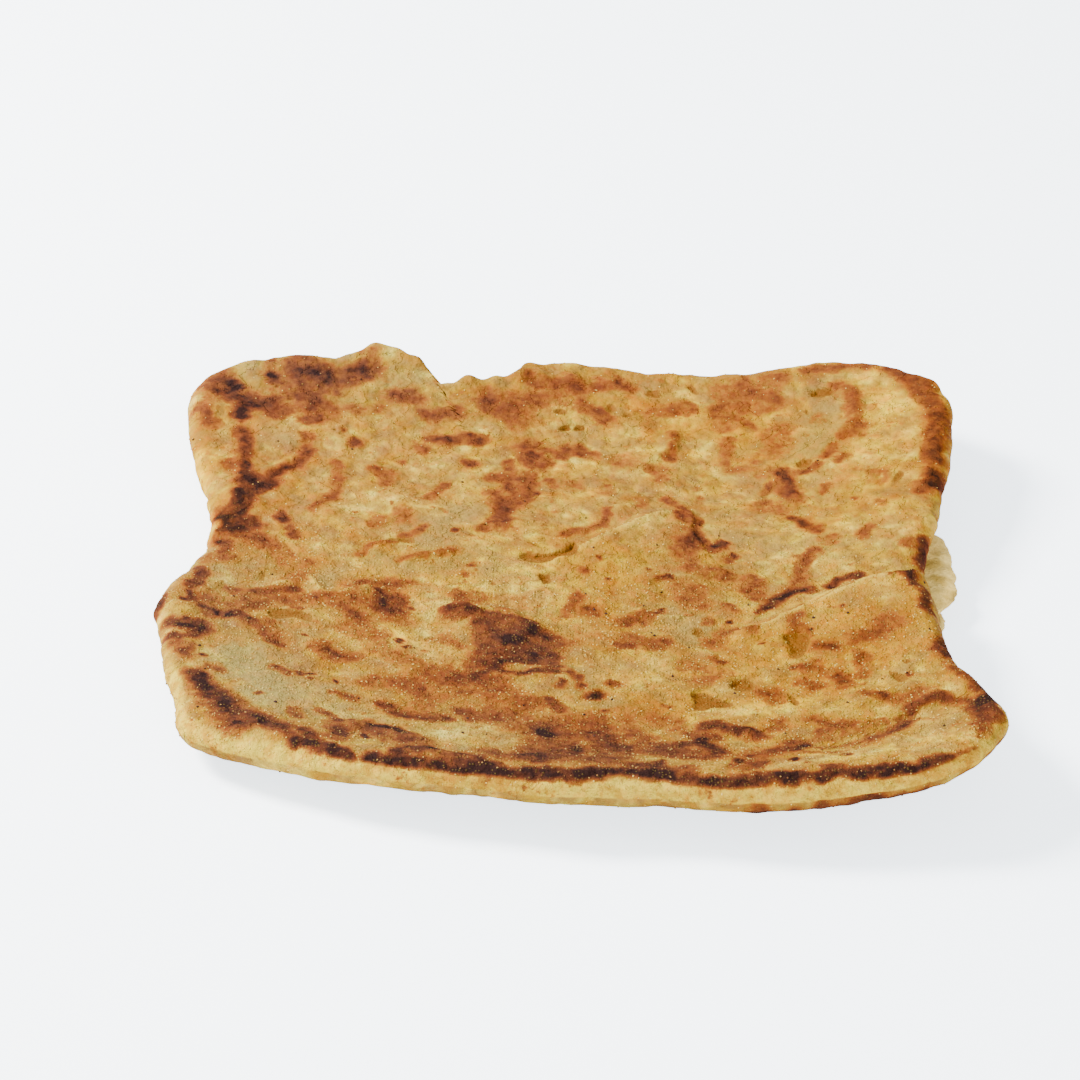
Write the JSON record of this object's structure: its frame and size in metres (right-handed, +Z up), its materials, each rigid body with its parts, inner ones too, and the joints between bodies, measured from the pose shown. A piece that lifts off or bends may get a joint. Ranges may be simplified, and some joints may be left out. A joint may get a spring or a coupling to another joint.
{
  "type": "square flatbread",
  "caption": "Square folded griddle flatbread with a browned, blistered top, a torn edge and a shallow dished shape with raised corners.",
  "frame": {"origin": "middle of the part's box, on the surface that the bread rests on", "axes": "+Z up from the support, +Y away from the front rolled edge, +X to the right"},
  "size_m": [0.1999, 0.2141, 0.0214],
  "materials": {
    "griddled_dough": "satin"
  },
  "bodies": {
    "root": {"msemen": "griddled_dough"}
  },
  "joints": []
}
